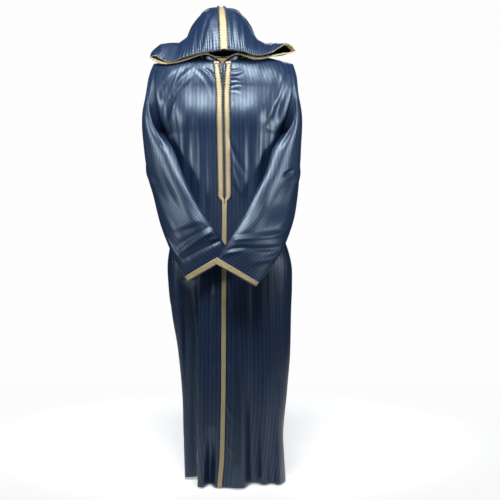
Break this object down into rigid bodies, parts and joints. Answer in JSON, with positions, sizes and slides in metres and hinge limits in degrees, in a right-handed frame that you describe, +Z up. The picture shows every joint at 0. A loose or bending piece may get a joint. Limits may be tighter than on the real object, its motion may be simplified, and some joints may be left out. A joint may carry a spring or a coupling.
{
  "type": "hooded djellaba robe",
  "caption": "Long hooded djellaba in dark blue striped satin with gold braid, hollow and standing as worn, hood up and sleeves folded in front.",
  "frame": {"origin": "base of the neck, midway between the shoulders and level with their top", "axes": "+X to the right as seen from the front, -Y out of the front, +Z up"},
  "size_m": [0.5366, 0.3952, 1.6093],
  "materials": {
    "striped_satin": "dark blue satin with narrow tonal stripes",
    "gold_braid": "woven gold and cream metallic-thread braid",
    "closure_cord": "dark twisted cord",
    "facing_cotton": "matt beige cotton"
  },
  "bodies": {
    "root": {"front_left": "striped_satin", "front_right": "striped_satin", "back": "striped_satin", "sleeve_left": "striped_satin", "sleeve_right": "striped_satin", "hood_left": "striped_satin", "hood_right": "striped_satin", "placket_braid_left": "gold_braid", "placket_braid_right": "gold_braid", "closure_row": "closure_cord", "skirt_braid": "gold_braid", "cuff_braid_left": "gold_braid", "cuff_braid_right": "gold_braid", "hood_braid": "gold_braid", "rim_braid_left": "gold_braid", "rim_braid_right": "gold_braid", "braid_end_left": "gold_braid", "braid_end_right": "gold_braid", "neck_facing": "facing_cotton"}
  },
  "joints": []
}
